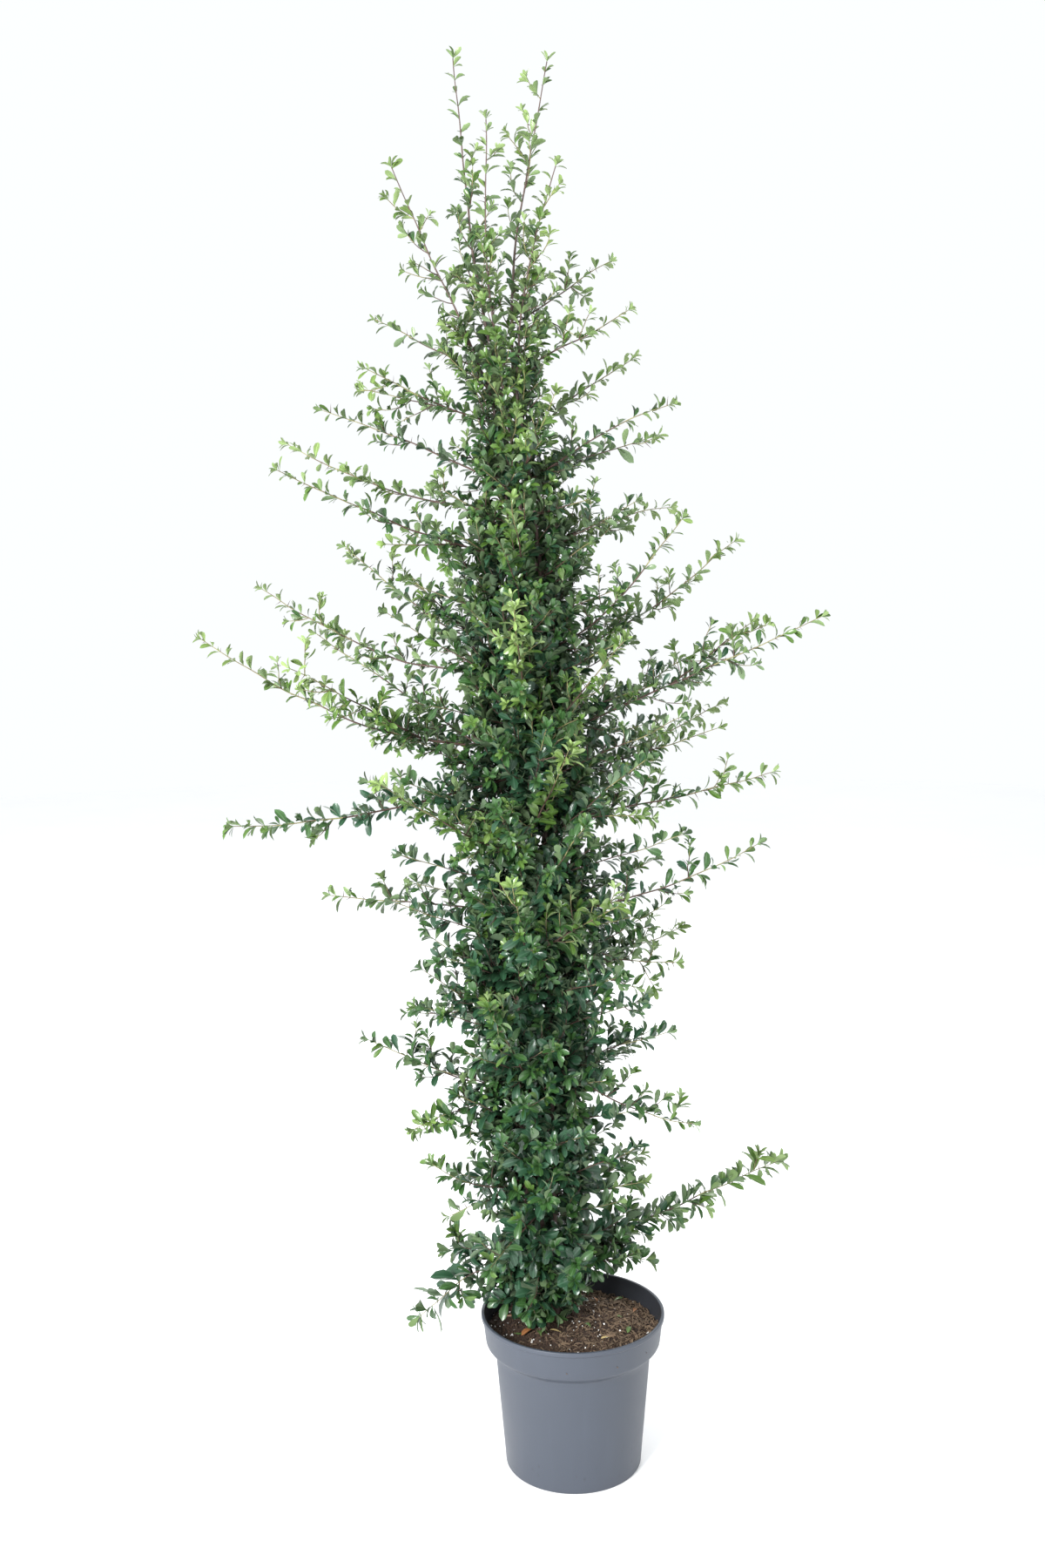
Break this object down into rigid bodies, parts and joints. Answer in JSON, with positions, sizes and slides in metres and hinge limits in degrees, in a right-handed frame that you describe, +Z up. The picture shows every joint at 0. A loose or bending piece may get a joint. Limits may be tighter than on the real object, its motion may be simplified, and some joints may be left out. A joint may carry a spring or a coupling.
{
  "type": "firethorn shrub",
  "caption": "Tall, narrow potted firethorn shrub: a short trunk, upright boughs and leafy side shoots that reach out all round, standing in a round tapered pot with a deep rim band.",
  "frame": {"origin": "centre of the pot's flat underside", "axes": "+Z up along the pot's axis, +X to the right and +Y away as the plant is seen from its front"},
  "size_m": [0.9998, 0.699, 2.3138],
  "materials": {
    "pot_plastic": "matte grey moulded plastic, slightly scuffed",
    "potting_soil": "dark crumbly mix with bark fibres and white grains",
    "bark": "smooth reddish brown bark with pale pores",
    "foliage": "glossy dark green leaves",
    "young_foliage": "glossy light green leaves"
  },
  "bodies": {
    "root": {"bough_back": "bark", "bough_back_right": "bark", "bough_front": "bark", "bough_left": "bark", "bough_right": "bark", "pot": "pot_plastic", "shoot_back_01": "foliage", "shoot_back_02": "foliage", "shoot_back_03": "foliage", "shoot_back_04": "foliage", "shoot_back_05": "foliage", "shoot_back_06": "foliage", "shoot_back_07": "foliage", "shoot_back_08": "foliage", "shoot_front_01": "young_foliage", "shoot_front_02": "young_foliage", "shoot_front_03": "young_foliage", "shoot_front_04": "young_foliage", "shoot_front_05": "young_foliage", "shoot_front_06": "young_foliage", "shoot_front_07": "young_foliage", "shoot_front_08": "young_foliage", "shoot_left_01": "foliage", "shoot_left_02": "foliage", "shoot_left_03": "foliage", "shoot_left_04": "foliage", "shoot_left_05": "foliage", "shoot_left_06": "foliage", "shoot_left_07": "foliage", "shoot_left_08": "foliage", "shoot_left_09": "foliage", "shoot_left_10": "foliage", "shoot_left_11": "foliage", "shoot_left_12": "foliage", "shoot_left_13": "foliage", "shoot_left_14": "foliage", "shoot_left_15": "foliage", "shoot_right_01": "foliage", "shoot_right_02": "foliage", "shoot_right_03": "foliage", "shoot_right_04": "foliage", "shoot_right_05": "foliage", "shoot_right_06": "foliage", "shoot_right_07": "foliage", "shoot_right_08": "foliage", "shoot_right_09": "foliage", "shoot_right_10": "foliage", "shoot_right_11": "foliage", "shoot_right_12": "foliage", "shoot_right_13": "foliage", "shoot_right_14": "foliage", "shoot_right_15": "foliage", "soil": "potting_soil", "tip_back": "young_foliage", "tip_back_right": "young_foliage", "tip_front": "young_foliage", "tip_left": "young_foliage", "tip_right": "young_foliage", "trunk": "bark"}
  },
  "joints": []
}
